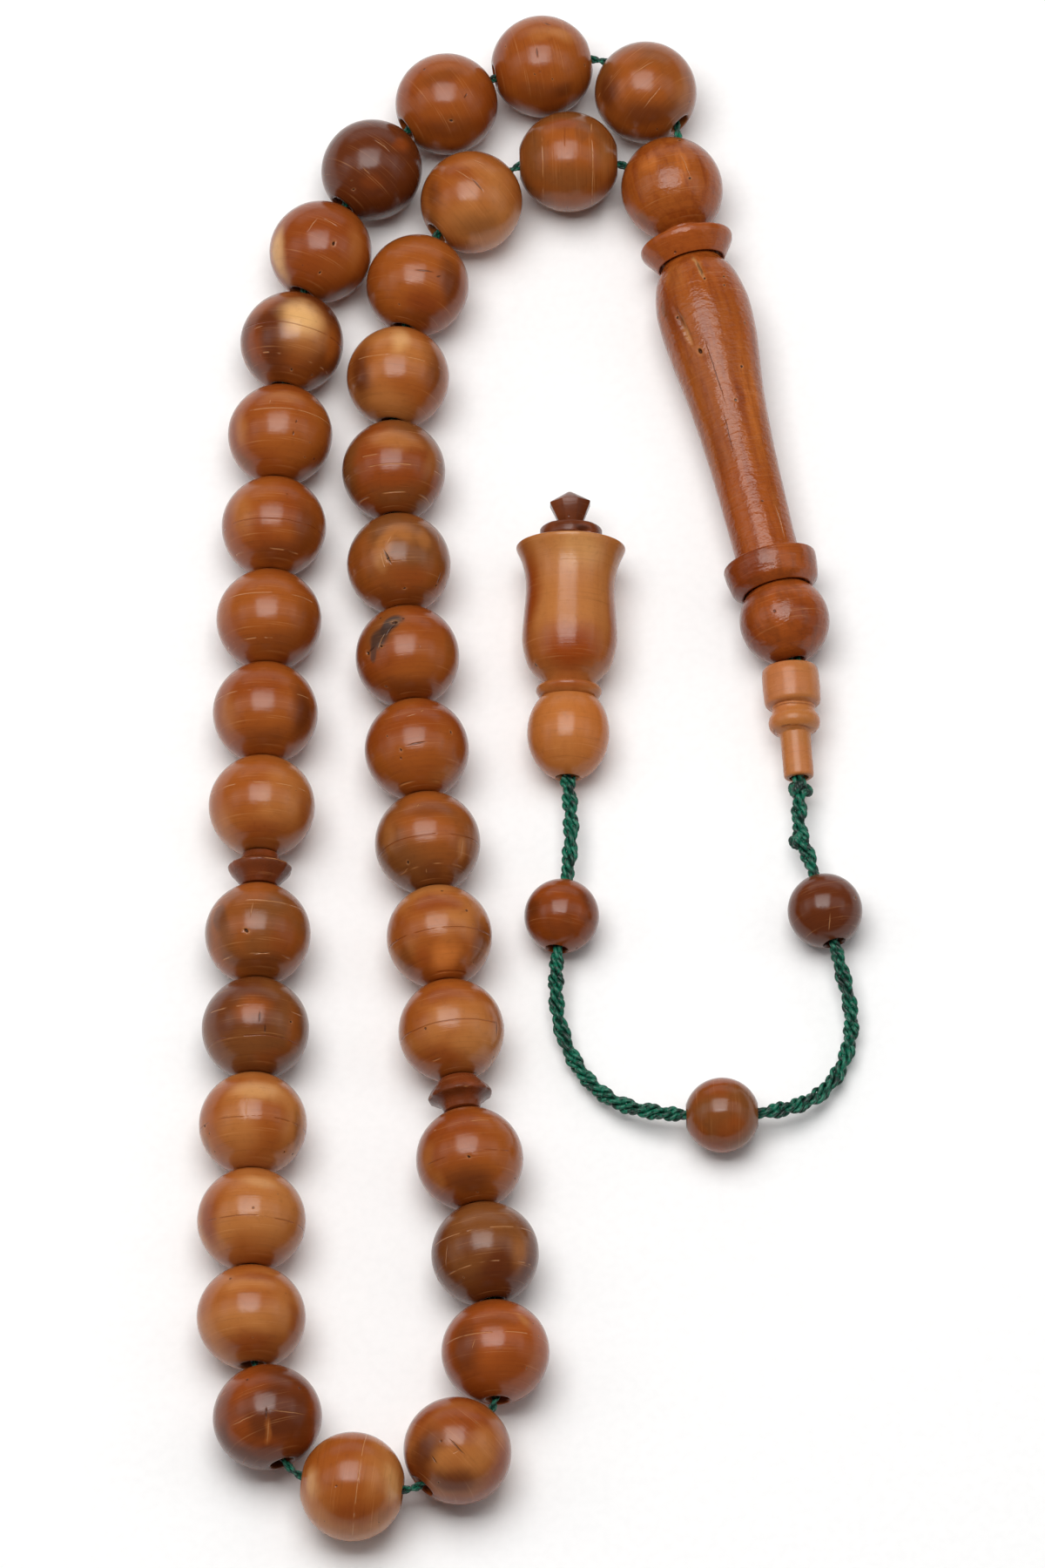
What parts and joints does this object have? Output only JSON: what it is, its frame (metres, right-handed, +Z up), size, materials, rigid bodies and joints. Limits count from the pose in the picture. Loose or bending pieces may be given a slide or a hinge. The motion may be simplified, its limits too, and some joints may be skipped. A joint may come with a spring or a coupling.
{
  "type": "misbaha prayer beads",
  "caption": "Closed string of turned prayer beads with flat spacers, a long turned leading piece and a short corded tail ending in a bell-shaped finial.",
  "frame": {"origin": "on the plane that the string lies on, under the middle of its outline without the cords", "axes": "+Y along the laid-out string towards the head of the leading piece, +X towards the side with the tail, +Z up"},
  "size_m": [0.0758, 0.1877, 0.0126],
  "materials": {
    "bead": "polished palm nut, satin gloss, orange brown to tan, each bead its own shade",
    "leading_piece": "polished palm nut, satin gloss, reddish orange brown",
    "tip": "polished palm nut, satin gloss, light amber",
    "spacer": "hand-cut palm nut, dark reddish brown",
    "small_bead": "polished palm nut, dark chestnut",
    "finial": "polished palm nut, satin gloss, light tan",
    "stopper": "cut palm nut, dark reddish brown",
    "cord": "twisted two-ply silk cord, dark green"
  },
  "bodies": {
    "root": {"imame_head": "leading_piece", "imame_collar": "leading_piece", "imame_shank": "leading_piece", "imame_disc": "leading_piece", "imame_ball": "leading_piece", "core_cord": "cord", "head_knot": "cord", "loop_cord": "cord"},
    "tail": {"tail_cord": "cord"},
    "tip": {"imame_tip": "tip"},
    "tail_bead_right": {"tail_bead_right": "small_bead"},
    "tail_bead_bottom": {"tail_bead_bottom": "small_bead"},
    "tail_bead_left": {"tail_bead_left": "small_bead"},
    "finial": {"finial_ball": "finial", "finial_ring": "finial", "finial_bell": "finial", "finial_knot": "cord"},
    "stopper": {"finial_disc": "stopper", "finial_knob": "stopper"},
    "bead_01": {"bead_01": "bead"},
    "bead_02": {"bead_02": "bead"},
    "bead_03": {"bead_03": "bead"},
    "bead_04": {"bead_04": "bead"},
    "bead_05": {"bead_05": "bead"},
    "bead_06": {"bead_06": "bead"},
    "bead_07": {"bead_07": "bead"},
    "bead_08": {"bead_08": "bead"},
    "bead_09": {"bead_09": "bead"},
    "bead_10": {"bead_10": "bead"},
    "bead_11": {"bead_11": "bead"},
    "spacer_1": {"spacer_1": "spacer"},
    "bead_12": {"bead_12": "bead"},
    "bead_13": {"bead_13": "bead"},
    "bead_14": {"bead_14": "bead"},
    "bead_15": {"bead_15": "bead"},
    "bead_16": {"bead_16": "bead"},
    "bead_17": {"bead_17": "bead"},
    "bead_18": {"bead_18": "bead"},
    "bead_19": {"bead_19": "bead"},
    "bead_20": {"bead_20": "bead"},
    "bead_21": {"bead_21": "bead"},
    "bead_22": {"bead_22": "bead"},
    "spacer_2": {"spacer_2": "spacer"},
    "bead_23": {"bead_23": "bead"},
    "bead_24": {"bead_24": "bead"},
    "bead_25": {"bead_25": "bead"},
    "bead_26": {"bead_26": "bead"},
    "bead_27": {"bead_27": "bead"},
    "bead_28": {"bead_28": "bead"},
    "bead_29": {"bead_29": "bead"},
    "bead_30": {"bead_30": "bead"},
    "bead_31": {"bead_31": "bead"},
    "bead_32": {"bead_32": "bead"},
    "bead_33": {"bead_33": "bead"}
  },
  "joints": [
    {"name": "tail_swing", "type": "hinge", "parent": "root", "child": "tail", "pos_m": [0.02975, 0.0122, 0.0052], "axis": [0, 0, 1], "range_deg": [-8, 8.4]},
    {"name": "finial_swing", "type": "hinge", "parent": "tail", "child": "finial", "pos_m": [0.0041, -0.0012, 0.00443], "axis": [0, 0, 1], "range_deg": [-15, 8]},
    {"name": "stopper_pull", "type": "slide", "parent": "finial", "child": "stopper", "axis": [0.0144, 0.9976, 0.0683], "range_m": [0, 0.003]},
    {"name": "tail_bead_right_slide", "type": "slide", "parent": "tail", "child": "tail_bead_right", "axis": [0.2567, -0.9665, 0], "range_m": [-0.002, 0.0012]},
    {"name": "tail_bead_bottom_slide", "type": "slide", "parent": "tail", "child": "tail_bead_bottom", "axis": [-0.9998, -0.0222, 0], "range_m": [-0.001, 0.001]},
    {"name": "tail_bead_left_slide", "type": "slide", "parent": "tail", "child": "tail_bead_left", "axis": [0.1361, 0.9907, 0], "range_m": [-0.001, 0.002]},
    {"name": "tip_spin", "type": "hinge", "parent": "tail", "child": "tip", "pos_m": [0.02975, 0.0122, 0.0052], "axis": [0.0738, -0.9963, -0.0443], "continuous": true},
    {"name": "bead_01_spin", "type": "hinge", "parent": "root", "child": "bead_01", "pos_m": [0.01336, 0.08472, 0.006], "axis": [-0.6981, 0.716, 0], "continuous": true},
    {"name": "bead_02_spin", "type": "hinge", "parent": "root", "child": "bead_02", "pos_m": [0.00121, 0.08808, 0.006], "axis": [-0.9762, -0.2168, 0], "continuous": true},
    {"name": "bead_03_spin", "type": "hinge", "parent": "root", "child": "bead_03", "pos_m": [-0.01001, 0.08322, 0.006], "axis": [-0.8272, -0.562, 0], "continuous": true},
    {"name": "bead_04_spin", "type": "hinge", "parent": "root", "child": "bead_04", "pos_m": [-0.01878, 0.07476, 0.006], "axis": [-0.5947, -0.804, 0], "continuous": true},
    {"name": "bead_05_spin", "type": "hinge", "parent": "root", "child": "bead_05", "pos_m": [-0.02469, 0.06427, 0.006], "axis": [-0.3841, -0.9233, 0], "continuous": true},
    {"name": "bead_06_spin", "type": "hinge", "parent": "root", "child": "bead_06", "pos_m": [-0.02797, 0.05271, 0.006], "axis": [-0.1655, -0.9862, 0], "continuous": true},
    {"name": "bead_07_spin", "type": "hinge", "parent": "root", "child": "bead_07", "pos_m": [-0.02927, 0.041, 0.006], "axis": [-0.0672, -0.9977, 0], "continuous": true},
    {"name": "bead_08_spin", "type": "hinge", "parent": "root", "child": "bead_08", "pos_m": [-0.02992, 0.02941, 0.006], "axis": [-0.0495, -0.9988, 0], "continuous": true},
    {"name": "bead_09_spin", "type": "hinge", "parent": "root", "child": "bead_09", "pos_m": [-0.03041, 0.01781, 0.006], "axis": [-0.0342, -0.9994, 0], "continuous": true},
    {"name": "bead_10_spin", "type": "hinge", "parent": "root", "child": "bead_10", "pos_m": [-0.03075, 0.00623, 0.006], "axis": [-0.027, -0.9996, 0], "continuous": true},
    {"name": "bead_11_spin", "type": "hinge", "parent": "root", "child": "bead_11", "pos_m": [-0.03105, -0.00534, 0.006], "axis": [-0.0246, -0.9997, 0], "continuous": true},
    {"name": "spacer_1_spin", "type": "hinge", "parent": "root", "child": "spacer_1", "pos_m": [-0.03124, -0.01318, 0.006], "axis": [-0.0221, -0.9998, 0], "continuous": true},
    {"name": "bead_12_spin", "type": "hinge", "parent": "root", "child": "bead_12", "pos_m": [-0.0314, -0.02103, 0.006], "axis": [-0.0196, -0.9998, 0], "continuous": true},
    {"name": "bead_13_spin", "type": "hinge", "parent": "root", "child": "bead_13", "pos_m": [-0.03161, -0.0326, 0.006], "axis": [-0.0168, -0.9999, 0], "continuous": true},
    {"name": "bead_14_spin", "type": "hinge", "parent": "root", "child": "bead_14", "pos_m": [-0.03179, -0.04418, 0.006], "axis": [-0.013, -0.9999, 0], "continuous": true},
    {"name": "bead_15_spin", "type": "hinge", "parent": "root", "child": "bead_15", "pos_m": [-0.03188, -0.05577, 0.006], "axis": [-0.0037, -1, 0], "continuous": true},
    {"name": "bead_16_spin", "type": "hinge", "parent": "root", "child": "bead_16", "pos_m": [-0.0318, -0.06742, 0.006], "axis": [0.0341, -0.9994, 0], "continuous": true},
    {"name": "bead_17_spin", "type": "hinge", "parent": "root", "child": "bead_17", "pos_m": [-0.0299, -0.07936, 0.006], "axis": [0.3009, -0.9537, 0], "continuous": true},
    {"name": "bead_18_spin", "type": "hinge", "parent": "root", "child": "bead_18", "pos_m": [-0.02028, -0.08758, 0.006], "axis": [0.9902, -0.1394, 0], "continuous": true},
    {"name": "bead_19_spin", "type": "hinge", "parent": "root", "child": "bead_19", "pos_m": [-0.00843, -0.08333, 0.006], "axis": [0.673, 0.7397, 0], "continuous": true},
    {"name": "bead_20_spin", "type": "hinge", "parent": "root", "child": "bead_20", "pos_m": [-0.00416, -0.07159, 0.006], "axis": [-0.0307, 0.9995, 0], "continuous": true},
    {"name": "bead_21_spin", "type": "hinge", "parent": "root", "child": "bead_21", "pos_m": [-0.00534, -0.05984, 0.006], "axis": [-0.1423, 0.9898, 0], "continuous": true},
    {"name": "bead_22_spin", "type": "hinge", "parent": "root", "child": "bead_22", "pos_m": [-0.00709, -0.04839, 0.006], "axis": [-0.1502, 0.9887, 0], "continuous": true},
    {"name": "spacer_2_spin", "type": "hinge", "parent": "root", "child": "spacer_2", "pos_m": [-0.00822, -0.04063, 0.006], "axis": [-0.1365, 0.9906, 0], "continuous": true},
    {"name": "bead_23_spin", "type": "hinge", "parent": "root", "child": "bead_23", "pos_m": [-0.00923, -0.03284, 0.006], "axis": [-0.1236, 0.9923, 0], "continuous": true},
    {"name": "bead_24_spin", "type": "hinge", "parent": "root", "child": "bead_24", "pos_m": [-0.01063, -0.02135, 0.006], "axis": [-0.1196, 0.9928, 0], "continuous": true},
    {"name": "bead_25_spin", "type": "hinge", "parent": "root", "child": "bead_25", "pos_m": [-0.012, -0.00985, 0.006], "axis": [-0.1154, 0.9933, 0], "continuous": true},
    {"name": "bead_26_spin", "type": "hinge", "parent": "root", "child": "bead_26", "pos_m": [-0.01326, 0.00168, 0.006], "axis": [-0.1028, 0.9947, 0], "continuous": true},
    {"name": "bead_27_spin", "type": "hinge", "parent": "root", "child": "bead_27", "pos_m": [-0.01439, 0.01322, 0.006], "axis": [-0.0914, 0.9958, 0], "continuous": true},
    {"name": "bead_28_spin", "type": "hinge", "parent": "root", "child": "bead_28", "pos_m": [-0.0154, 0.02477, 0.006], "axis": [-0.0805, 0.9968, 0], "continuous": true},
    {"name": "bead_29_spin", "type": "hinge", "parent": "root", "child": "bead_29", "pos_m": [-0.01605, 0.03644, 0.006], "axis": [-0.0259, 0.9997, 0], "continuous": true},
    {"name": "bead_30_spin", "type": "hinge", "parent": "root", "child": "bead_30", "pos_m": [-0.01561, 0.04829, 0.006], "axis": [0.1074, 0.9942, 0], "continuous": true},
    {"name": "bead_31_spin", "type": "hinge", "parent": "root", "child": "bead_31", "pos_m": [-0.01337, 0.05999, 0.006], "axis": [0.2744, 0.9616, 0], "continuous": true},
    {"name": "bead_32_spin", "type": "hinge", "parent": "root", "child": "bead_32", "pos_m": [-0.00709, 0.07064, 0.006], "axis": [0.7133, 0.7008, 0], "continuous": true},
    {"name": "bead_33_spin", "type": "hinge", "parent": "root", "child": "bead_33", "pos_m": [0.00428, 0.07581, 0.006], "axis": [0.9996, 0.0279, 0], "continuous": true}
  ]
}
